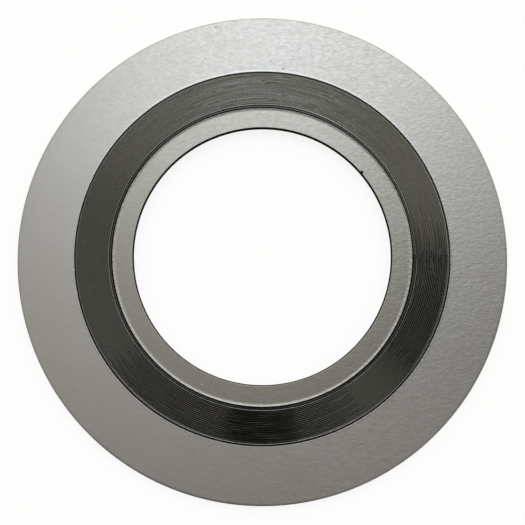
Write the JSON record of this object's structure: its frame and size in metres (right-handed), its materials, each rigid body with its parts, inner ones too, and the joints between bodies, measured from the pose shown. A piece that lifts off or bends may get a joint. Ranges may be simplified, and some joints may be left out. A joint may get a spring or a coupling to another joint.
{
  "type": "spiral wound gasket",
  "caption": "Flat ring gasket of wound steel strip and graphite, held between an inner ring and a centering ring, that seals a raised face pipe flange joint.",
  "frame": {"origin": "centre of the gasket on its mid plane", "axes": "+Z along the pipe's axis and out of the face that the picture shows, +Y towards the top of the picture, +X towards its right"},
  "size_m": [0.1938, 0.1938, 0.0044],
  "materials": {
    "centering_ring_steel": "satin rolled sheet",
    "inner_ring_steel": "satin turned sheet",
    "steel_and_graphite": "dull graphite between fine steel edges"
  },
  "bodies": {
    "root": {"centering_ring": "centering_ring_steel", "inner_ring": "inner_ring_steel", "winding": "steel_and_graphite"}
  },
  "joints": []
}
